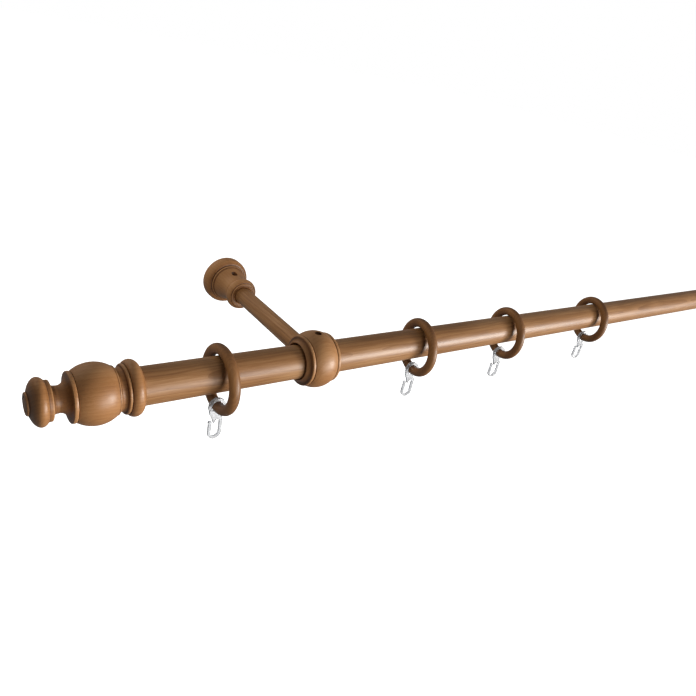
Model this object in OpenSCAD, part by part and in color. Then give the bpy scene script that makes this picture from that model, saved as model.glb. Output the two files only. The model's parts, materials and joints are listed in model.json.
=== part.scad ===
// Turned wooden curtain rod on two wall brackets, with ball finials, wooden rings and clear plastic hooks.
// Millimetres. +X runs along the rod, +Y goes into the wall, +Z is up.
// The origin lies in the wall plane, midway between the brackets, at the height of the bracket arms.

/* [Rod] */
// Diameter of the rod
rod_d = 28; // [26:1:28]
// Length of the rod without its finials
rod_len = 1600; // [1400:50:2400]
// Clear diameter of the holder's bore that the rod lies in
holder_bore_d = 30; // [29.5:0.5:30.5]

/* [Brackets] */
// Distance between the two brackets
bracket_spacing = 1290; // [1100:10:1300]
// Distance from the wall to the middle of the rod holder
wall_gap = 170; // [110:5:220]
// Diameter of the bracket arm
arm_d = 16; // [14:1:16]
// Diameter of the rosette's foot at the wall
rosette_d = 45; // [45:1:50]
// Distance between a wall plate's two screw holes
plate_hole_spacing = 22; // [20:1:23]
// Diameter of a wall plate's screw hole
plate_hole_d = 4.5; // [4:0.5:5]

/* [Finials] */
// Length of a finial
finial_len = 71.6; // [71:0.2:76]
// Diameter of the finial's ball
ball_d = 43; // [42:0.5:44]
// Diameter of the finial's end knob
knob_d = 32.6; // [31:0.2:34]

/* [Rings and hooks] */
// Inner diameter of a ring
ring_inner_d = 39; // [37:1:42]
// Thickness of a ring's wooden stock
ring_stock_d = 8.6; // [7:0.2:9]
// Rings on each half of the rod, as distances from the bracket towards the middle
ring_offsets = [-83, 122, 252, 413];
// How far each of these rings hangs turned out of square, in degrees
ring_turns = [0, -9, -12, -15];
// Thickness of a hook along the rod's wall side
hook_t = 2.6; // [2:0.2:3]
// Height of a hook's curtain loop below its eye
hook_drop = 24.8; // [22:0.2:28]

/* [Hidden] */
$fn = 96;

wood = "#a9794f";
wood_dark = "#8a5d38";
steel = "#b9bcc0";
clear_plastic = [0.92, 0.94, 0.96, 0.6];

rod_r = rod_d / 2;
arm_r = arm_d / 2;
bore_r = holder_bore_d / 2;
touch_gap = 0.05; // between pieces that rest on each other
fit_gap = 0.1;    // round a glued dowel or a tenon
run_gap = 0.3;    // between pieces that move on each other
through = 1;      // how far a cut runs past the face it opens

// The rod lies on the bottom of the holders' bores.
rod_z = touch_gap + rod_r - bore_r;
bracket_x = bracket_spacing / 2;

// Steel screws that hold the turned pieces together
dowel_screw_r = 3;
dowel_screw_len = 50;
lock_screw_r = 2.5;
lock_hole_r = 2.75;
holder_screw_len = 7;
rosette_screw_len = 6;
hex_socket_r = 1.45;
hex_socket_depth = 2.5;

// Points on an ellipse about [s, r], from angle a0 to a1, as [radius, distance along the axis]
function arc(s, r, rs, rr, a0, a1, n) =
    [for (i = [0:n]) let (a = a0 + (a1 - a0) * i / n) [r + rr * sin(a), s - rs * cos(a)]];

// Turns an outline given as [radius, distance] points, closed along the axis, about +Z
module turned(outline) {
    first = outline[0];
    last = outline[len(outline) - 1];
    rotate_extrude() polygon(concat([[0, first[1]]], outline, [[0, last[1]]]));
}

// A pointed wood screw or dowel screw about +Z, with ridges for its thread
module ridged_shank(r, len, pitch) {
    ridges = floor(len / pitch);
    root = 0.78 * r;
    turned(concat([[root, 0]],
        [for (i = [0:ridges - 1]) each [[root, (i + 0.1) * pitch], [r, (i + 0.5) * pitch]]],
        [[root, len]]));
}

// A headless screw about +Z with a hexagon socket in its top face
module lock_screw(len) {
    difference() {
        cylinder(r = lock_screw_r, h = len);
        translate([0, 0, len - hex_socket_depth]) cylinder(r = hex_socket_r, h = hex_socket_depth + through, $fn = 6);
    }
}

// ---- Rod ----

module rod() {
    color(wood) translate([0, -wall_gap, rod_z]) rotate([0, 90, 0]) difference() {
        cylinder(r = rod_r, h = rod_len, center = true);
        for (side = [-1, 1]) translate([0, 0, side * (rod_len / 2 - dowel_screw_len / 4 + through / 2)])
            cylinder(r = dowel_screw_r + fit_gap, h = dowel_screw_len / 2 + through, center = true);
    }
}

// ---- Finials ----

socket_depth = 10;
collar_r = 20.2;
collar_s = 5.3;
fillet_r = 17.8;
neck_r = 9.1;
knob_r = knob_d / 2;
ball_r = ball_d / 2;
ball_s = 30.2;
knob_s = finial_len - 8.2;
knob_half = 7.4;
button_r = 7.8;
button_s = finial_len - 1.6;

// The finial's outline from the collar, at 0, to the button at its tip
finial_outline = concat(
    arc(collar_s, collar_r - 5.9, collar_s / cos(10), 5.9, 10, 138, 14), // collar bead
    [[fillet_r - 0.9, 9.5], [fillet_r - 0.3, 9.7], [fillet_r, 10.3],
     [fillet_r, 11.1], [fillet_r - 0.5, 11.6]],                       // fillet
    arc(14.2, 17.2, 2.4, -2, 0, 180, 8),                              // small cove
    [[17.4, 16.8]],
    arc(ball_s, 0, ball_r, ball_r, 54, 127, 18),                      // ball
    [[16.6, 43.3], [17.3, 43.6], [17.6, 44.7], [17.4, 45.9], [16.7, 46.3]], // flat bead
    arc(52.3, 16.2, 5.9, neck_r - 16.2, 4, 90, 10),                   // cove down to the neck
    arc(knob_s - 9.4, 12.4, 2.7, neck_r - 12.2, 90, 180, 5),          // rise to the step
    [[13.3, knob_s - 6.6], [13.7, knob_s - 6.1], [13.6, knob_s - 5.4]], // step
    arc(knob_s, 0, knob_half, knob_r, 58, 151, 16),                   // knob
    [[button_r + 0.2, button_s - 0.1], [button_r, button_s],
     [button_r, finial_len - 0.7], [button_r - 0.6, finial_len - 0.1]],
    [[5.6, finial_len], [5.2, finial_len - 0.5], [4.5, finial_len - 0.5], [4.1, finial_len]]); // ring groove

// A finial about +Z, its collar face at 0
module finial_body() {
    difference() {
        turned(finial_outline);
        translate([0, 0, -through]) cylinder(r = rod_r + touch_gap * 4, h = socket_depth + through);
        translate([0, 0, socket_depth - through])
            cylinder(r = dowel_screw_r + fit_gap, h = dowel_screw_len / 2 + through + fit_gap);
    }
}

module finial(side) {
    color(wood_dark) translate([side * (rod_len / 2 - socket_depth + touch_gap), -wall_gap, rod_z])
        rotate([0, side * 90, 0]) finial_body();
}

module finial_dowel_screws() {
    color(steel) for (side = [-1, 1])
        translate([side * (rod_len - dowel_screw_len) / 2, -wall_gap, rod_z])
            rotate([0, side * 90, 0]) ridged_shank(dowel_screw_r, dowel_screw_len, 2.5);
}

// ---- Rod holders ----

holder_half = 17;
holder_groove = 10.9;
holder_bulge_r = 23.9;
holder_arc_r = 19.3;
arm_seat_r = 20.6;   // how far from the holder's axis the arm's shoulder stops
tenon_r = 5;
tenon_end = bore_r + 0.6;

// Half of the holder's outline, from its middle outwards
holder_side = concat(
    [for (i = [0:8]) let (x = 10.5 * i / 8)
        [holder_bulge_r - holder_arc_r + sqrt(holder_arc_r * holder_arc_r - x * x), x]], // bulge
    [[20.1, holder_groove], [20.7, 11.3], [20.9, 12.2], [20.7, 13.2], [20.2, 13.7]],         // groove and bead
    [for (i = [1:5]) let (t = i / 5) [20.2 - 4.5 * t, 13.7 + 3.1 * t - 0.8 * sin(180 * t)]], // coved end
    [[bore_r + 0.5, holder_half]]);

module rod_holder(side) {
    outline = concat(
        [for (i = [len(holder_side) - 1:-1:1]) [holder_side[i][0], -holder_side[i][1]]], holder_side);
    color(wood_dark) translate([side * bracket_x, -wall_gap, 0]) difference() {
        rotate([0, 90, 0]) turned(outline);
        rotate([0, 90, 0]) cylinder(r = bore_r, h = 2 * holder_half + 2 * through, center = true);
        rotate([-90, 0, 0]) cylinder(r = tenon_r + fit_gap, h = holder_bulge_r);
        translate([0, arm_seat_r, 0]) rotate([-90, 0, 0]) cylinder(r = arm_r + fit_gap, h = holder_bulge_r);
        cylinder(r = lock_hole_r, h = holder_bulge_r + through);
    }
}

module holder_lock_screws() {
    color(steel) for (side = [-1, 1])
        translate([side * bracket_x, -wall_gap, rod_z + rod_r + touch_gap]) lock_screw(holder_screw_len);
}

// ---- Bracket arms ----

arm_wall_end = 28;   // how far from the wall the arm starts, inside the rosette

module arm(side) {
    color(wood) translate([side * bracket_x, 0, 0]) rotate([90, 0, 0]) union() {
        translate([0, 0, arm_wall_end]) cylinder(r = arm_r, h = wall_gap - arm_seat_r - touch_gap - arm_wall_end);
        translate([0, 0, arm_wall_end]) cylinder(r = tenon_r, h = wall_gap - tenon_end - arm_wall_end);
    }
}

// ---- Rosettes ----

rosette_r = rosette_d / 2;
rosette_len = 44.4;
rosette_hollow_r = 17;
rosette_hollow_depth = 6;
spigot_r = 5;
spigot_len = 26;
rosette_hole_s = 22;  // the lock screw's distance from the wall
spigot_waist_r = 4.2;

// The rosette's outline from the wall, at 0, to its front face
rosette_outline = concat(
    [[rosette_r - 1, 0], [rosette_r - 0.3, 0.5], [rosette_r, 1.4]],
    arc(5.4, 17.8, 6.1, rosette_r - 17.8, 90, 176, 8),                // rounded foot
    [[17.7, 11.9], [17.9, 12.3], [17.6, 13], [16.7, 13.4]],           // bead between two grooves
    [for (i = [0:8]) let (t = i / 8) [16.6 - 4.2 * sin(90 * t) , 13.7 + 16 * t]], // bell
    [[12.5, 32.5], [12.9, 34.2], [13.5, 35.2]],
    arc(39.4, 11.2, 4.5, 3.9, 24, 150, 12),                           // front bead
    [[12.4, 43.4], [12.3, 43.8], [12, 44.2], [11.6, rosette_len]]);

module rosette(side) {
    color(wood_dark) translate([side * bracket_x, 0, 0]) difference() {
        rotate([90, 0, 0]) turned(rosette_outline);
        rotate([90, 0, 0]) translate([0, 0, -through]) cylinder(r = rosette_hollow_r, h = rosette_hollow_depth + through);
        rotate([90, 0, 0]) cylinder(r = spigot_r + fit_gap, h = spigot_len + through);
        translate([0, -arm_wall_end + touch_gap, 0]) rotate([90, 0, 0]) cylinder(r = arm_r + fit_gap, h = rosette_len);
        translate([0, -rosette_hole_s, 0]) cylinder(r = lock_hole_r, h = rosette_r);
    }
}

module rosette_lock_screws() {
    color(steel) for (side = [-1, 1])
        translate([side * bracket_x, -rosette_hole_s, spigot_waist_r + touch_gap]) lock_screw(rosette_screw_len);
}

// ---- Wall plates ----

plate_r = 16;
plate_t = 2.5;
waist_half = 2.8;

module wall_plate(side) {
    color(steel) translate([side * bracket_x, 0, 0]) rotate([90, 0, 0]) difference() {
        turned([
            [plate_r, 0], [plate_r, plate_t], [spigot_r, plate_t],
            [spigot_r, rosette_hole_s - waist_half], [spigot_waist_r, rosette_hole_s - waist_half],
            [spigot_waist_r, rosette_hole_s + waist_half], [spigot_r, rosette_hole_s + waist_half],
            [spigot_r, spigot_len]]);
        for (end = [-1, 1]) translate([0, end * plate_hole_spacing / 2, -through])
            cylinder(d = plate_hole_d, h = plate_t + 2 * through);
    }
}

// ---- Rings ----

stock_r = ring_stock_d / 2;
ring_mid_r = ring_inner_d / 2 + stock_r;
ring_z = rod_z + rod_r + run_gap - ring_inner_d / 2;  // the ring hangs on the top of the rod
hook_z = ring_z - ring_mid_r;                         // middle of the ring's stock at its lowest point

// Ring positions from left to right: one half of the rod, then its mirror image
ring_x = concat(
    [for (o = ring_offsets) o - bracket_x],
    [for (i = [len(ring_offsets) - 1:-1:0]) bracket_x - ring_offsets[i]]);
ring_turn = concat(ring_turns, [for (i = [len(ring_turns) - 1:-1:0]) -ring_turns[i]]);

module ring(i) {
    color(wood_dark) translate([ring_x[i], -wall_gap, ring_z]) rotate([0, 90, ring_turn[i]])
        rotate_extrude() translate([ring_mid_r, 0]) circle(r = stock_r);
}

// ---- Hooks ----

eye_gap = 0.4;
eye_r = stock_r + eye_gap;
eye_band = 2.5;
wire_w = 2.3;       // width of the hook's legs
loop_r = 4.5;       // from the loop's middle to the middle of a leg
shoulder_z = -11;   // where the right leg ends in the hook's web
tip_r = 1.45;
tip_z = -14.7;      // the free end of the left leg
slot_from = -58;    // the eye's snap slot, as angles
slot_to = -22;

// The filled shape of the curtain loop: a round end with straight sides up to the hook's shoulder
module curtain_loop(r) {
    translate([0, -hook_drop]) circle(r = r);
    translate([-r, -hook_drop]) square([2 * r, hook_drop + shoulder_z]);
}

// A flat shape made as thick as the hook
module slab(cut = 0) {
    translate([0, 0, -cut]) linear_extrude(hook_t + 2 * cut) children();
}

// The hook about its eye: +X to the right, +Y up, as thick as hook_t along +Z
module hook_body() {
    difference() {
        union() {
            cylinder(r = eye_r + eye_band, h = hook_t);
            slab() polygon([
                [-4.6, -4.2], [1.6, -5.6], [3.6, -9.2], [5.65, -10.6], [5.65, -13],
                [3.3, -13], [1.6, -12], [0, -12.6], [-0.9, -15.2], [-1.9, -15.4],
                [-2.7, -12.6], [-3.6, -10.4], [-5.4, -7.2]]);
            difference() {
                slab() curtain_loop(loop_r + wire_w / 2);
                slab(through) curtain_loop(loop_r - wire_w / 2);
                slab(through) translate([-2 * loop_r, tip_z]) square([2 * loop_r, -tip_z]);
            }
            translate([-loop_r - 0.15, tip_z, 0]) cylinder(r = tip_r, h = hook_t);
        }
        translate([0, 0, -through]) cylinder(r = eye_r, h = hook_t + 2 * through);
        slab(through) polygon([
            [0, 0], [12 * cos(slot_from), 12 * sin(slot_from)], [12 * cos(slot_to), 12 * sin(slot_to)]]);
    }
}

module hook(i) {
    color(clear_plastic) translate([ring_x[i], -wall_gap, hook_z]) rotate([90, 0, ring_turn[i]])
        translate([0, 0, -hook_t / 2]) hook_body();
}

rod();
finial(-1);  // finial_left
finial(1);  // finial_right
finial_dowel_screws();
rod_holder(-1);  // rod_holder_left
rod_holder(1);  // rod_holder_right
holder_lock_screws();
arm(-1);  // arm_left
arm(1);  // arm_right
rosette(-1);  // rosette_left
rosette(1);  // rosette_right
rosette_lock_screws();
wall_plate(-1);  // wall_plate_left
wall_plate(1);  // wall_plate_right
for (i = [0:len(ring_x) - 1]) {
    ring(i);
    hook(i);
}
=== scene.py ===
"""Looks of the turned wooden curtain rod: lathe-turned meshes, stained wood, clear hooks, light, camera."""

import json
import math

import bpy
import bmesh
import numpy as np
from mathutils import Matrix, Vector
from mathutils.kdtree import KDTree


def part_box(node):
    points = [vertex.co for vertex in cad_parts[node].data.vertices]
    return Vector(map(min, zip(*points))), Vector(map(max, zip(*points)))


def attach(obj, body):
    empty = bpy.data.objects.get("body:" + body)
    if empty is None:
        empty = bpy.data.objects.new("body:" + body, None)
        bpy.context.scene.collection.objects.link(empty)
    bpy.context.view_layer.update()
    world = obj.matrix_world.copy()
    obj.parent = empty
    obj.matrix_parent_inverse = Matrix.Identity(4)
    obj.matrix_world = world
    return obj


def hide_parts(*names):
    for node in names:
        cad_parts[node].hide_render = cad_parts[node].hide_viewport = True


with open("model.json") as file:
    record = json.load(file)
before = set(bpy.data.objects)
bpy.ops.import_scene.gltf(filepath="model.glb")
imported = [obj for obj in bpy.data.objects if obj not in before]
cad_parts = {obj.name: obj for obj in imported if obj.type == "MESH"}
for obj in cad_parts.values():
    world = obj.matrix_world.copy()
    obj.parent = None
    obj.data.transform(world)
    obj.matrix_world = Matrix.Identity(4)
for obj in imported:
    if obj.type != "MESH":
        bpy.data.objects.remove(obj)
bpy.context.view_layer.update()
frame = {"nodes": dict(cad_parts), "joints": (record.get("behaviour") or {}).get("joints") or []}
nodes = frame["nodes"]
MM = 0.001
PITCH = 0.12  # mm between the points of a sanded outline
UP, ALONG, TO_WALL, TO_ROOM = (Vector(v) for v in ((0, 0, 1), (1, 0, 0), (0, 1, 0), (0, -1, 0)))


# ---- Where things are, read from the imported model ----

def middle(name):
    """The middle of a CAD node's box, in metres."""
    low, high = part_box(name)
    return (low + high) / 2


def along(point, s_dir):
    """A matrix from lathe space, in millimetres with the axis on +Z, to the shared frame in metres."""
    z = Vector(s_dir).normalized()
    x = Vector((0, 0, 1) if abs(z.z) < 0.9 else (0, 1, 0)).cross(z).normalized()
    y = z.cross(x)
    turn = Matrix((x, y, z)).transposed().to_4x4()
    return Matrix.Translation(point) @ turn @ Matrix.Scale(MM, 4)


# ---- Outlines, as (radius, distance along the axis) in millimetres ----

def arc(s, r, rs, rr, start, end, steps):
    """Points on an ellipse about (s, r), from one angle to another in degrees."""
    out = []
    for i in range(steps + 1):
        a = math.radians(start + (end - start) * i / steps)
        out.append((r + rr * math.sin(a), s - rs * math.cos(a)))
    return out


def sanded(outline, closed, rounds=7, pitch=PITCH):
    """The outline as evenly spaced points with its sharp corners eased, as sanding and lacquer leave them."""
    pts = np.array(outline, float)
    if closed:
        pts = np.vstack([pts, pts[:1]])
    run = np.concatenate([[0], np.cumsum(np.linalg.norm(np.diff(pts, axis=0), axis=1))])
    at = np.linspace(0, run[-1], int(run[-1] / pitch) + 1)
    fine = np.stack([np.interp(at, run, pts[:, k]) for k in (0, 1)], 1)
    if closed:
        fine = fine[:-1]
    for _ in range(rounds):
        before, after = np.roll(fine, 1, 0), np.roll(fine, -1, 0)
        eased = 0.25 * before + 0.5 * fine + 0.25 * after
        if not closed:
            eased[0], eased[-1] = fine[0], fine[-1]
        fine = eased
    return fine


def bend(fine, closed, blur=5):
    """Curvature along the outline, in 1/mm: positive on ridges and edges, negative in grooves."""
    step = np.roll(fine, -1, 0) - fine
    if not closed:
        step[-1] = step[-2]
    back = np.roll(step, 1, 0)
    if not closed:
        back[0] = step[0]
    cross = step[:, 0] * back[:, 1] - step[:, 1] * back[:, 0]
    turn = -np.arctan2(cross, (step * back).sum(1))
    k = turn / np.maximum(np.linalg.norm(step, axis=1), 1e-6)
    for _ in range(blur):
        k = 0.25 * np.roll(k, 1) + 0.5 * k + 0.25 * np.roll(k, -1)
    return k


def thinned(fine, closed, max_turn=5.0, max_len=1.3, straight_len=12.0):
    """The points that a mesh needs: more of them where the outline bends, few along its straight parts."""
    step = np.roll(fine, -1, 0) - fine
    back = np.roll(step, 1, 0)
    crossed = back[:, 0] * step[:, 1] - back[:, 1] * step[:, 0]
    turns = np.abs(np.degrees(np.arctan2(crossed, (back * step).sum(1))))
    window, least_turn = 51, 0.5
    bent = np.convolve(turns, np.ones(window), "same") > least_turn
    keep, turned, length = [0], 0.0, 0.0
    for i in range(1, len(fine) - (0 if closed else 1)):
        turned += turns[i]
        length += float(np.linalg.norm(back[i]))
        if turned > max_turn or length > (max_len if bent[i] else straight_len):
            keep.append(i)
            turned, length = 0.0, 0.0
    if not closed:
        keep.append(len(fine) - 1)
    return fine[keep]


def finial_outline():
    """From the collar's socket round the outside to the tip."""
    socket_r, socket_deep, screw_r, screw_deep = 14.2, 10, 3.1, 35.1
    collar_s, ball_s, ball_r = 5.3, 30.2, 21.5
    neck_s, neck_r, knob_s, tip = 52.3, 9.1, 63.4, 71.6
    out = [(0, screw_deep + 0.1), (screw_r, screw_deep), (screw_r, socket_deep), (socket_r, socket_deep)]
    out += [(socket_r, 0)]
    out += arc(collar_s, 14.3, collar_s / math.cos(math.radians(10)), 5.9, 10, 138, 40)
    out += [(16.9, 9.5), (17.5, 9.7), (17.8, 10.3), (17.8, 11.1), (17.3, 11.6)]
    out += arc(14.2, 17.2, 2.4, -2, 0, 180, 24) + [(17.4, 16.8)]
    out += arc(ball_s, 0, ball_r, ball_r, 54, 127, 70)
    out += [(16.6, 43.3), (17.3, 43.6), (17.6, 44.7), (17.4, 45.9), (16.7, 46.3)]
    out += arc(neck_s, 16.2, 5.9, neck_r - 16.2, 4, 90, 40)
    out += arc(knob_s - 9.4, 12.4, 2.7, neck_r - 12.2, 90, 180, 16)
    out += [(13.3, knob_s - 6.6), (13.7, knob_s - 6.1), (13.6, knob_s - 5.4)]
    out += arc(knob_s, 0, 7.4, 16.3, 58, 151, 60)
    out += [(8, tip - 1.7), (7.8, tip - 1.6), (7.8, tip - 0.7), (7.2, tip - 0.1), (5.6, tip)]
    out += [(5.2, tip - 0.5), (4.5, tip - 0.5), (4.1, tip), (0, tip)]
    return out


def holder_outline():
    """The rod holder's ring, bore included, from one end to the other."""
    bore_r, bulge_r, bulge_out, groove, end = 15, 19.3, 4.6, 10.5, 16.7
    side = [(bulge_out + math.sqrt(bulge_r ** 2 - x * x), x) for x in np.linspace(0, groove, 30)]
    side += [(20.1, 10.9), (20.7, 11.3), (20.9, 12.2), (20.7, 13.2), (20.2, 13.7)]
    for i in range(1, 21):
        t = i / 20
        side.append((20.2 - 4.5 * t, 13.7 + 3.1 * t - 0.8 * math.sin(math.pi * t)))
    side.append((15.5, end + 0.3))
    outer = [(r, -s) for r, s in reversed(side[1:])] + side
    return [(bore_r, -end)] + outer + [(bore_r, end)]


def rosette_outline():
    """The rosette's wall foot, bell and front bead, with its hollow back and its bores."""
    hollow_r, hollow_deep, spigot_r, spigot_deep, seat_r = 17, 6, 5.1, 27, 8.1
    bell_r, bell_s, bell_long, waist = 16.6, 13.7, 16, 4.2
    out = [(hollow_r, 0), (21.5, 0), (22.2, 0.5), (22.5, 1.4)]
    out += arc(5.4, 17.8, 6.1, 4.7, 90, 176, 30)
    out += [(17.7, 11.9), (17.9, 12.3), (17.6, 13), (16.7, 13.4)]
    for i in range(31):
        t = i / 30
        out.append((bell_r - waist * math.sin(math.pi / 2 * t), bell_s + bell_long * t))
    out += [(12.5, 32.5), (12.9, 34.2), (13.5, 35.2)]
    out += arc(39.4, 11.2, 4.5, 3.9, 24, 150, 36)
    out += [(12.4, 43.4), (12.3, 43.8), (12, 44.2), (11.6, 44.4), (9.1, 44.4), (8.2, 43.3)]
    out += [(seat_r, spigot_deep + 0.95), (spigot_r, spigot_deep)]
    return out + [(spigot_r, hollow_deep), (hollow_r, hollow_deep)]


def arm_outline():
    """The dowel arm from inside the rosette to its tenon in the rod holder."""
    start, end, tenon, dowel_r, tenon_r = 28, 149.35, 154.4, 8, 5
    return [(0, start), (dowel_r - 0.3, start), (dowel_r, start + 0.3), (dowel_r, end - 0.3),
            (dowel_r - 0.3, end), (tenon_r, end), (tenon_r, tenon - 0.5), (tenon_r - 0.5, tenon), (0, tenon)]


def rod_outline(half):
    """The rod with its chamfered ends and the holes for the dowel screws."""
    rod_r, chamfer, screw_r, screw_deep = 14, 0.8, 3.1, 25
    end = [(rod_r, half - chamfer), (rod_r - chamfer, half), (screw_r, half)]
    end += [(screw_r, half - screw_deep), (0, half - screw_deep)]
    return [(r, -s) for r, s in reversed(end)] + end


# ---- Meshes ----

def put(name, verts, faces):
    """A new object at the origin whose vertices are already in the shared frame."""
    mesh = bpy.data.meshes.new(name)
    mesh.from_pydata([tuple(v) for v in verts], [], faces)
    obj = bpy.data.objects.new(name, mesh)
    bpy.context.scene.collection.objects.link(obj)
    return obj


def spin(name, outline, place, turns, closed):
    """Revolves an outline about the lathe axis that `place` sets."""
    rings, verts = [], []
    for r, s in outline:
        if r < 1e-4:
            rings.append([len(verts)] * turns)
            verts.append(place @ Vector((0, 0, s)))
            continue
        rings.append(list(range(len(verts), len(verts) + turns)))
        for k in range(turns):
            a = 2 * math.pi * k / turns
            verts.append(place @ Vector((r * math.cos(a), r * math.sin(a), s)))
    faces = []
    for i in range(len(rings) - (0 if closed else 1)):
        low, high = rings[i], rings[(i + 1) % len(rings)]
        for k in range(turns):
            n = (k + 1) % turns
            face = [low[k], low[n], high[n], high[k]]
            face = [v for j, v in enumerate(face) if v not in face[:j]]
            if len(face) > 2:
                faces.append(face)
    return put(name, verts, faces)


def tidy_mesh(obj, sharp=38.0):
    """Outward normals, smooth shading, and sharp edges only where two faces meet at a real corner."""
    bm = bmesh.new()
    bm.from_mesh(obj.data)
    bmesh.ops.remove_doubles(bm, verts=bm.verts, dist=1e-7)
    bmesh.ops.recalc_face_normals(bm, faces=bm.faces)
    bm.to_mesh(obj.data)
    bm.free()
    obj.data.shade_smooth()
    obj.data.set_sharp_from_angle(angle=math.radians(sharp))


def cut(obj, cutters):
    """Takes each cutter's volume out of obj."""
    for cutter in cutters:
        hole = obj.modifiers.new("cut", "BOOLEAN")
        hole.operation = "DIFFERENCE"
        hole.solver = "EXACT"
        hole.object = cutter
    graph = bpy.context.evaluated_depsgraph_get()
    mesh = bpy.data.meshes.new_from_object(obj.evaluated_get(graph))
    obj.modifiers.clear()
    old, obj.data = obj.data, mesh
    bpy.data.meshes.remove(old)
    mesh.name = obj.name
    for cutter in cutters:
        bpy.data.objects.remove(cutter)


def drill(point, direction, outline):
    """A cutter for a drilled hole: outline is (radius, distance from point)."""
    solid = [(0, outline[0][1])] + outline + [(0, outline[-1][1])]
    return spin("drill", solid, along(point, direction), 40, False)


# ---- What the materials read from the meshes ----

def grain_matrix(grain, pith, shift):
    """From metres about the lathe origin to wood space in millimetres: +X along the grain, the pith on X."""
    x = Vector(grain).normalized()
    side = Vector((0, 0, 1)) if abs(x.z) < 0.9 else Vector((0, 1, 0))
    y = side.cross(x).normalized()
    turn = Matrix((x, y, x.cross(y))).to_4x4()
    return Matrix.Translation((shift, *pith)) @ turn @ Matrix.Scale(1 / MM, 4)


def write(mesh, name, kind, values):
    """Stores one value per vertex under a name that a material can read."""
    made = mesh.attributes.new(name, kind, "POINT")
    field = "vector" if kind == "FLOAT_VECTOR" else "value"
    made.data.foreach_set(field, np.ravel(values).astype(np.float32))


def wood_data(obj, place, outline, closed, grain, centre, pith, shift):
    """Writes wood coordinates, how much end grain shows, and where grooves and worn edges are.

    A vertex further than `off_outline` from the outline lies in a drilled hole, which `relief` marks with -1,
    and there the material paints shade.
    """
    bend_gain, off_outline = 0.9, 0.35
    mesh = obj.data
    count = len(mesh.vertices)
    co = np.zeros(count * 3, np.float32)
    mesh.vertices.foreach_get("co", co)
    co = co.reshape(-1, 3).astype(float)
    normal = np.zeros(count * 3, np.float32)
    mesh.vertices.foreach_get("normal", normal)
    board = np.array(grain_matrix(grain, pith, shift) @ Matrix.Translation(-Vector(centre)))
    write(mesh, "grain", "FLOAT_VECTOR", co @ board[:3, :3].T + board[:3, 3])
    facing = np.abs(normal.reshape(-1, 3) @ np.array(Vector(grain).normalized()))
    write(mesh, "end_grain", "FLOAT", facing ** 2)
    lathe = np.array(place.inverted())
    local = co @ lathe[:3, :3].T + lathe[:3, 3]
    bends = np.clip(bend(outline, closed) * bend_gain, -1, 1)
    tree = KDTree(len(outline))
    for i, (r, s) in enumerate(outline):
        tree.insert((r, s, 0), i)
    tree.balance()
    near = [tree.find((math.hypot(x, y), z, 0)) for x, y, z in local]
    relief = np.array([bends[i] if gap < off_outline else -1.0 for _, i, gap in near])
    write(mesh, "relief", "FLOAT", relief)
    write(mesh, "turning", "FLOAT", np.array([i for _, i, _ in near]) * PITCH)


def turned(name, outline, place, grain, pith, shift, closed=False, turns=144, cutters=()):
    """A piece of lathe work: an outline revolved, drilled, smoothed and given its wood coordinates."""
    fine = sanded(outline, closed)
    obj = spin(name, thinned(fine, closed), place, turns, closed)
    tidy_mesh(obj)
    if cutters:
        cut(obj, list(cutters))
        tidy_mesh(obj)
    wood_data(obj, place, fine, closed, grain, place.translation, pith, shift)
    return obj


def finish_piece(obj, body, slot, material, *replaced):
    """Gives a piece its material, and lets it stand for CAD nodes; the slot is not used."""
    obj.data.materials.clear()
    obj.data.materials.append(material)
    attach(obj, body)
    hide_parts(*replaced)


# ---- Materials ----

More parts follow.
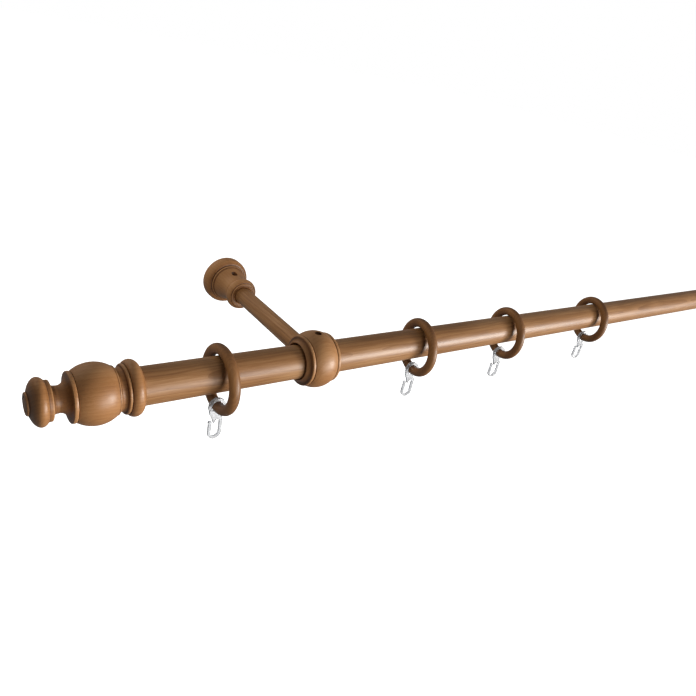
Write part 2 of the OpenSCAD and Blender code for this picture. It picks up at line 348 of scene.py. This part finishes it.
class Shader:
    """A small helper that adds nodes to one material and links them."""

    def __init__(self, name):
        self.material = bpy.data.materials.new(name)
        self.material.use_nodes = True
        self.tree = self.material.node_tree
        self.tree.nodes.clear()
        self.surface = self.add("BsdfPrincipled")
        out = self.add("OutputMaterial")
        self.tree.links.new(self.surface.outputs[0], out.inputs[0])

    def add(self, kind, inputs=None, **settings):
        """A new node, with settings for its properties and values or sockets for its inputs."""
        node = self.tree.nodes.new("ShaderNode" + kind)
        for key, value in settings.items():
            setattr(node, key, value)
        for key, value in (inputs or {}).items():
            if isinstance(value, bpy.types.NodeSocket):
                self.tree.links.new(value, node.inputs[key])
            else:
                node.inputs[key].default_value = value
        return node

    def set(self, **inputs):
        """Sets or links the shader's own sockets; underscores stand for spaces."""
        for key, value in inputs.items():
            socket = self.surface.inputs[key.replace("_", " ")]
            if isinstance(value, bpy.types.NodeSocket):
                self.tree.links.new(value, socket)
            else:
                socket.default_value = value

    def read(self, name):
        """A mesh attribute's node."""
        return self.add("Attribute", attribute_type="GEOMETRY", attribute_name=name)

    def math(self, kind, a, b=0.0, c=0.0):
        """One Math node's result."""
        return self.add("Math", {0: a, 1: b, 2: c}, operation=kind).outputs[0]

    def scaled(self, vector, scale, offset=(0, 0, 0)):
        """A vector stretched and shifted."""
        inputs = {"Vector": vector, "Location": offset, "Scale": scale}
        return self.add("Mapping", inputs, vector_type="POINT").outputs[0]

    def noise(self, vector, scale, detail=3.0, rough=0.55, offset=(0, 0, 0)):
        """Noise on a stretched vector, from 0 to 1."""
        inputs = {"Vector": self.scaled(vector, scale, offset), "Scale": 1.0}
        inputs |= {"Detail": detail, "Roughness": rough}
        return self.add("TexNoise", inputs, noise_dimensions="3D").outputs[0]

    def span(self, value, low, high, to_low=0.0, to_high=1.0):
        """A value's range mapped to another, clamped."""
        inputs = {0: value, 1: low, 2: high, 3: to_low, 4: to_high}
        return self.add("MapRange", inputs, clamp=True).outputs[0]

    def ramp(self, value, stops):
        """A colour ramp through (place, colour) stops."""
        node = self.add("ValToRGB", {0: value})
        band = node.color_ramp
        band.interpolation = "B_SPLINE"
        while len(band.elements) < len(stops):
            band.elements.new(0.5)
        for element, (place, colour) in zip(band.elements, stops):
            element.position = place
            element.color = (*colour, 1)
        return node.outputs[0]

    def bump(self, height, distance, strength, normal=None):
        """A bump whose height is in metres."""
        inputs = {"Strength": strength, "Distance": distance, "Height": height}
        if normal is not None:
            inputs["Normal"] = normal
        return self.add("Bump", inputs).outputs[0]


def srgb(r, g, b):
    """A display colour from 0 to 255 as linear light."""
    return tuple((c / 255 / 12.92) if c < 10.4 else ((c / 255 + 0.055) / 1.055) ** 2.4 for c in (r, g, b))


def stained_wood(name, dark, mid, light, contrast=1.0):
    """Straight-grained hardwood under a nut-brown stain and a satin lacquer."""
    m = Shader(name)
    wood = m.read("grain").outputs["Vector"]
    end = m.read("end_grain").outputs["Fac"]
    relief = m.read("relief").outputs["Fac"]
    turning = m.read("turning").outputs["Fac"]

    # Growth rings, which wander a little on their way along the grain
    drift = m.add("TexNoise", {"Vector": m.scaled(wood, (0.008, 0.035, 0.035)), "Scale": 1.0, "Detail": 2.0})
    centred = m.add("VectorMath", {0: drift.outputs["Color"], 1: (-0.5, -0.5, -0.5)}, operation="ADD")
    pushed = m.add("VectorMath", {0: centred.outputs[0], 1: (0, 9, 9), 2: wood}, operation="MULTIPLY_ADD")
    ring_gap = 2.6  # mm
    years = m.add("TexWave", {"Vector": pushed.outputs[0], "Scale": 0.314 / ring_gap, "Distortion": 0.0},
                  wave_type="RINGS", rings_direction="X", wave_profile="SAW").outputs["Fac"]
    years = m.span(m.math("POWER", years, 2.2), 0.0, 1.0, 0.0, 1.0)

    fibre = m.noise(wood, (0.035, 1.1, 1.1), 5.0, 0.62)
    hair = m.noise(wood, (0.12, 4.2, 4.2), 3.0, 0.6, (7, 3, 1))
    pores = m.span(m.noise(wood, (0.3, 3.4, 3.4), 2.0, 0.5, (1, 9, 4)), 0.62, 0.74)
    cloud = m.noise(wood, (0.012, 0.06, 0.06), 2.0, 0.5, (3, 5, 8))

    # Darker in grooves, partly stain pooled there and partly painted shade; inside drilled holes it is
    # painted shade
    groove = m.span(relief, -0.55, -0.05, 1.0, 0.0)
    edge = m.span(relief, 0.25, 0.9, 0.0, 1.0)
    cut_end = m.span(end, 0.3, 0.95, 0.0, 1.0)
    # Painted shade: darkens the inside of drilled holes and the sharpest grooves
    hole_shade = m.span(relief, -0.97, -0.85, 1.0, 0.0)

    tone = m.math("MULTIPLY_ADD", years, -0.16 * contrast, 0.58)
    for value, weight in ((fibre, 0.62 * contrast), (hair, 0.22 * contrast), (cloud, 0.5)):
        tone = m.math("MULTIPLY_ADD", m.math("SUBTRACT", value, 0.5), weight, tone)
    for value, weight in ((pores, -0.12 * contrast), (groove, -0.34), (edge, 0.14),
                          (cut_end, -0.27), (hole_shade, -0.3)):
        tone = m.math("MULTIPLY_ADD", value, weight, tone)
    deep = tuple(0.45 * a + 0.55 * b for a, b in zip(dark, mid))
    colour = m.ramp(tone, ((0.0, dark), (0.32, deep), (0.6, mid), (1.0, light)))

    rough = m.math("MULTIPLY_ADD", fibre, 0.14, 0.36)
    rough = m.math("MULTIPLY_ADD", groove, 0.2, rough)
    lathe = m.add("TexNoise", {"W": m.math("MULTIPLY", turning, 2.1), "Scale": 1.0, "Detail": 3.0},
                  noise_dimensions="1D").outputs[0]
    height = m.math("MULTIPLY_ADD", pores, -0.9, m.math("MULTIPLY", fibre, 0.8))
    height = m.math("MULTIPLY_ADD", hair, 0.4, height)
    mark_height = 0.05 * MM
    normal = m.bump(height, mark_height, 0.55, m.bump(lathe, mark_height, 0.35))
    m.set(Base_Color=colour, Roughness=rough, Normal=normal, IOR=1.5, Coat_Weight=0.1, Coat_Roughness=0.3)
    return m.material


def clear_plastic(name):
    """Clear moulded plastic, a little milky, with faint flow marks."""
    m = Shader(name)
    place = m.add("TexCoord").outputs["Object"]
    flow = m.noise(place, (260, 260, 90), 3.0)
    tint = m.ramp(flow, ((0.2, (0.68, 0.7, 0.73)), (0.8, (0.78, 0.79, 0.81))))
    m.set(Base_Color=tint, Roughness=m.span(flow, 0.3, 0.7, 0.05, 0.11), Transmission_Weight=0.54, IOR=1.46,
          Normal=m.bump(flow, 0.00003, 0.15))
    return m.material


def zinc_steel(name):
    """Zinc-plated steel, bluish, with the mottling of the plating bath and fine scratches."""
    m = Shader(name)
    place = m.add("TexCoord").outputs["Object"]
    bath = m.noise(place, (420, 420, 420), 4.0)
    scratch = m.noise(place, (2600, 300, 900), 3.0, 0.7, (2, 1, 6))
    tint = m.ramp(bath, ((0.3, (0.42, 0.44, 0.47)), (0.7, (0.66, 0.68, 0.7))))
    rough = m.math("MULTIPLY_ADD", scratch, 0.25, 0.25)
    m.set(Base_Color=tint, Metallic=1.0, Roughness=rough, Normal=m.bump(scratch, 0.00002, 0.4))
    return m.material


def black_steel(name):
    """Blackened screw steel with a trace of oil."""
    m = Shader(name)
    place = m.add("TexCoord").outputs["Object"]
    film = m.noise(place, (900, 900, 900), 4.0)
    tint = m.ramp(film, ((0.3, (0.012, 0.012, 0.013)), (0.75, (0.045, 0.043, 0.042))))
    m.set(Base_Color=tint, Metallic=0.7, Roughness=m.math("MULTIPLY_ADD", film, 0.3, 0.3),
          Normal=m.bump(film, 0.00002, 0.4))
    return m.material


dark_stain, mid_stain, light_stain = srgb(68, 39, 14), srgb(162, 114, 69), srgb(212, 171, 126)
rod_wood = stained_wood("nut_stained_rod", dark_stain, mid_stain, light_stain, 0.85)
turned_wood = stained_wood("nut_stained_turning", dark_stain, srgb(176, 121, 71), light_stain, 0.42)
ring_wood = stained_wood("nut_stained_ring", srgb(60, 34, 12), srgb(143, 97, 54), srgb(190, 146, 96), 0.6)
hook_plastic = clear_plastic("clear_hook_plastic")
plated = zinc_steel("zinc_plated_steel")
blackened = black_steel("blackened_screw_steel")

# ---- The rod, its finials and the brackets ----

def coat(name, material):
    """Gives a CAD node that is shown as it is its material."""
    materials = nodes[name].data.materials
    materials.clear()
    materials.append(material)


rod_low, rod_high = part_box("rod")
rod_middle = (rod_low + rod_high) / 2
rod_half = (rod_high.x - rod_low.x) / 2 / MM
rod = turned("rod_turned", rod_outline(rod_half), along(rod_middle, ALONG), ALONG, (34, -21), 0, turns=128)
finish_piece(rod, "rail", "stained_wood", rod_wood, "rod")

lock_hole_r, lock_mouth_r = 2.75, 3.3
tenon_hole_r, arm_seat_r, arm_seat_s = 5.1, 8.1, 20.6
rosette_lock_s = 22
lit_from_side = []
for side, word, pith, shift in ((-1, "left", (26, 15), 40), (1, "right", (-22, 27), 410)):
    low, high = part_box("finial_" + word)
    collar = Vector((high.x if side < 0 else low.x, rod_middle.y, rod_middle.z))
    finial_place = along(collar, side * ALONG)
    finial = turned("finial_turned_" + word, finial_outline(), finial_place, ALONG, pith, shift)
    finish_piece(finial, "rail", "turned_wood", turned_wood, "finial_" + word)

    centre = middle("rod_holder_" + word)
    centre.z = middle("arm_" + word).z
    seat = centre + arm_seat_s * MM * TO_WALL
    holder = turned(
        "rod_holder_turned_" + word, holder_outline(), along(centre, ALONG), ALONG, (-19, 12 * side),
        shift + 90, closed=True, cutters=[
            drill(centre, UP, [(lock_hole_r, 0), (lock_hole_r, 23.3), (lock_mouth_r, 24.5)]),
            drill(centre, TO_WALL, [(tenon_hole_r, 0), (tenon_hole_r, 24)]),
            drill(seat, TO_WALL, [(arm_seat_r, 0), (arm_seat_r, 6)])])
    finish_piece(holder, "rail", "turned_wood", turned_wood, "rod_holder_" + word)

    foot = Vector((centre.x, 0, centre.z))
    arm = turned("arm_turned_" + word, arm_outline(), along(foot, TO_ROOM), TO_WALL, (15, 11 * side),
                 shift + 200, turns=96)
    finish_piece(arm, "rail", "stained_wood", rod_wood, "arm_" + word)
    lock_hole = [(lock_hole_r, 0), (lock_hole_r, 12.6), (lock_mouth_r, 13.8), (lock_mouth_r, 20)]
    rosette = turned(
        "rosette_turned_" + word, rosette_outline(), along(foot, TO_ROOM), TO_WALL, (-24, 17),
        shift + 300, closed=True, cutters=[drill(foot + rosette_lock_s * MM * TO_ROOM, UP, lock_hole)])
    finish_piece(rosette, "rail", "turned_wood", turned_wood, "rosette_" + word)
    lit_from_side += [arm, rosette]
    coat("wall_plate_" + word, plated)

coat("finial_dowel_screws", plated)
coat("holder_lock_screws", blackened)
coat("rosette_lock_screws", blackened)


# ---- Rings ----

def ring_piece(name, centre, facing, mid_r, stock_r, tilt, shift):
    """A turned wooden ring about the facing direction, with its board's grain across it at its own tilt."""
    angles = np.linspace(0, 2 * math.pi, 41)[:-1]
    circle = [(mid_r + stock_r * math.sin(a), stock_r * math.cos(a)) for a in angles]
    place = along(centre, facing)
    obj = spin(name, circle, place, 128, True)
    tidy_mesh(obj)
    across = Vector((-facing.y, facing.x, 0))
    grain = 0.12 * facing + math.cos(tilt) * across + Vector((0, 0, math.sin(tilt)))
    wood_data(obj, place, sanded(circle, True), True, grain, centre, (9, 31), shift)
    return obj


# ---- Hooks ----

def round_part(x, y, r, start, end, steps):
    """Points on a circle about (x, y), counted from +X in degrees."""
    turn = [math.radians(start + (end - start) * i / steps) for i in range(steps + 1)]
    return [(x + r * math.cos(a), y + r * math.sin(a)) for a in turn]


def hook_outline():
    """The hook's flat shape about its eye, from the upper jaw round the outside to the lower and back."""
    eye_r, eye_bore_r, loop_r, loop_inner_r, drop = 7.2, 4.7, 5.65, 3.35, -24.8
    tip_x, tip_y, tip_r = -4.65, -14.7, 1.4
    out = round_part(0, 0, eye_r, -22, 207, 60)
    out += [(-6.1, -5.2), (-5.6, -7.2), (-4.6, -9), (-3.5, -10.7), (-2.75, -12.6), (-2.0, -15.3)]
    out += [(-0.95, -15.2), (-0.1, -12.8), (0.7, -12.1), (1.7, -12), (2.7, -12.7), (3.3, -14)]
    out += round_part(0, drop, loop_inner_r, 0, -180, 40)
    out += [(-3.3, tip_y)] + round_part(tip_x, tip_y, tip_r, 10, 185, 20)
    out += [(-loop_r, -16.5)] + round_part(0, drop, loop_r, 180, 360, 50)
    out += [(loop_r, -11.3), (5.0, -10.4), (3.9, -9.5), (3.1, -7.7)]
    out += round_part(0, 0, eye_r, -63, -58, 3) + round_part(0, 0, eye_bore_r, -58, -382, 70)
    return out


def hook_piece(name, eye, turn, thick):
    """A hook moulded with rounded edges, built as a filled and bevelled flat outline."""
    round_over = 0.45
    fine = thinned(sanded(hook_outline(), True, rounds=9, pitch=0.1), True, 9.0, 0.9)
    curve = bpy.data.curves.new(name, "CURVE")
    curve.dimensions = "2D"
    curve.fill_mode = "BOTH"
    spline = curve.splines.new("POLY")
    spline.points.add(len(fine) - 1)
    for point, (x, y) in zip(spline.points, fine):
        point.co = (x, y, 0, 1)
    spline.use_cyclic_u = True
    curve.extrude = thick / 2 - round_over
    curve.bevel_depth = round_over
    curve.bevel_resolution = 3
    curve.offset = -round_over
    flat = bpy.data.objects.new(name + "_flat", curve)
    bpy.context.scene.collection.objects.link(flat)
    graph = bpy.context.evaluated_depsgraph_get()
    mesh = bpy.data.meshes.new_from_object(flat.evaluated_get(graph))
    bpy.data.objects.remove(flat)
    bpy.data.curves.remove(curve)
    upright = Matrix.Rotation(turn, 4, "Z") @ Matrix.Rotation(math.radians(90), 4, "X")
    mesh.transform(Matrix.Translation(eye) @ upright @ Matrix.Scale(MM, 4))
    obj = bpy.data.objects.new(name, mesh)
    bpy.context.scene.collection.objects.link(obj)
    tidy_mesh(obj, 50)
    return obj


swing_axes = {joint["child"]: joint["axis"] for joint in frame["joints"]}
board_tilts = (1.25, 1.7, 1.4, 1.9, 1.1, 1.6, 2.0, 1.3)
hook_thick = (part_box("hook_1")[1].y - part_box("hook_1")[0].y) / MM
stock_r = (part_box("ring_1")[1].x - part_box("ring_1")[0].x) / 2 / MM
for i, tilt in enumerate(board_tilts, 1):
    axis = swing_axes[f"hook_{i}"]
    facing = Vector((axis[1], -axis[0], 0))
    low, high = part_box(f"ring_{i}")
    centre = middle(f"ring_{i}")
    mid_r = (high.z - low.z) / 2 / MM - stock_r
    ring = ring_piece(f"ring_turned_{i}", centre, facing, mid_r, stock_r, tilt, 57 * i)
    finish_piece(ring, f"ring_{i}", "ring_wood", ring_wood, f"ring_{i}")
    lit_from_side.append(ring)
    eye = centre - mid_r * MM * UP
    hook = hook_piece(f"hook_moulded_{i}", eye, math.atan2(facing.y, facing.x), hook_thick)
    finish_piece(hook, f"hook_{i}", "clear_plastic", hook_plastic, f"hook_{i}")

# ---- Floor, light and camera ----

floor_z, floor_half = -1.5, 30
floor_corners = [(x * floor_half, y * floor_half, floor_z) for x, y in ((-1, -1), (1, -1), (1, 1), (-1, 1))]
floor = put("floor", floor_corners, [(0, 1, 2, 3)])
pale = Shader("pale_floor")
pale.set(Base_Color=(0.9, 0.9, 0.89, 1), Roughness=0.9, Emission_Color=(1, 1, 1, 1), Emission_Strength=1.1)
floor.data.materials.append(pale.material)
floor.visible_diffuse = False
floor.visible_glossy = False


def soft_light(name, target, azimuth, elevation, distance, size, power, colour=(1, 1, 1), shine=True):
    """A square soft light aimed at a point; azimuth 0 is the room side, 90 is +X."""
    a, e = math.radians(azimuth), math.radians(elevation)
    way = Vector((math.sin(a) * math.cos(e), -math.cos(a) * math.cos(e), math.sin(e)))
    lamp = bpy.data.lights.new(name, "AREA")
    lamp.shape = "SQUARE"
    lamp.size = size
    lamp.energy = power
    lamp.color = colour
    obj = bpy.data.objects.new(name, lamp)
    obj.location = Vector(target) + way * distance
    obj.rotation_mode = "QUATERNION"
    obj.rotation_quaternion = way.to_track_quat("Z", "Y")
    obj.visible_glossy = shine
    bpy.context.scene.collection.objects.link(obj)
    return obj


# Each light: name, target, azimuth, elevation, distance, size and power
WARM = (1, 0.965, 0.92)
near_end, near_half = (-0.5, -0.17, 0), (-0.3, -0.1, 0)
soft_light("key", near_end, 44, -3, 4.5, 1.5, 198, WARM)
soft_light("front", near_end, 16, -8, 4.5, 2.2, 98, WARM)
soft_light("top", near_half, 20, 70, 4.5, 3.0, 16, shine=False)
soft_light("back", near_half, 200, 30, 4.5, 3.0, 85, shine=False)
side_light = soft_light("side", (-0.6, -0.1, 0), -62, 35, 4.0, 2.0, 47, WARM, shine=False)
side_lit = bpy.data.collections.new("lit_from_the_side")
for piece in lit_from_side:
    side_lit.objects.link(piece)
side_light.light_linking.receiver_collection = side_lit

# The camera sees a white world; the other kinds of ray see a dim one, so that it doesn't wash out the wood
world = bpy.data.worlds.new("studio")
bpy.context.scene.world = world
world.use_nodes = True
world.node_tree.nodes.clear()
links = world.node_tree.links
sky = world.node_tree.nodes.new("ShaderNodeBackground")
sky.inputs["Color"].default_value = (1, 1, 1, 1)
path = world.node_tree.nodes.new("ShaderNodeLightPath")
out = world.node_tree.nodes.new("ShaderNodeOutputWorld")
other_rays = 0.07
level = None
for kind, strength in (("Is Camera Ray", 1.0), ("Is Transmission Ray", 0.2), ("Is Glossy Ray", 0.2)):
    choice = world.node_tree.nodes.new("ShaderNodeMix")
    choice.inputs[2].default_value = other_rays
    choice.inputs[3].default_value = strength
    links.new(path.outputs[kind], choice.inputs[0])
    if level is not None:
        links.new(choice.outputs[0], level.inputs[2])
    else:
        links.new(choice.outputs[0], sky.inputs["Strength"])
    level = choice
links.new(sky.outputs[0], out.inputs[0])

camera_place, focal_mm = (-0.92557, -0.52693, 0.23929), 31.9
azimuth, elevation, roll = (math.radians(v) for v in (41.52, 26.18, 12.81))
level_look = Vector((math.sin(azimuth), math.cos(azimuth), 0))
look = level_look * math.cos(elevation) - math.sin(elevation) * UP
right = look.cross(UP).normalized()
up = right.cross(look)
rolled_right = right * math.cos(roll) + up * math.sin(roll)
rolled_up = up * math.cos(roll) - right * math.sin(roll)
camera = bpy.data.objects.new("camera", bpy.data.cameras.new("camera"))
camera.data.sensor_width = 36
camera.data.lens = focal_mm
camera.data.clip_start = 0.01
camera.rotation_mode = "QUATERNION"
camera.rotation_quaternion = Matrix((rolled_right, rolled_up, -look)).transposed().to_quaternion()
camera.location = camera_place
bpy.context.scene.collection.objects.link(camera)
bpy.context.scene.camera = camera
bpy.context.scene.view_settings.view_transform = "Standard"
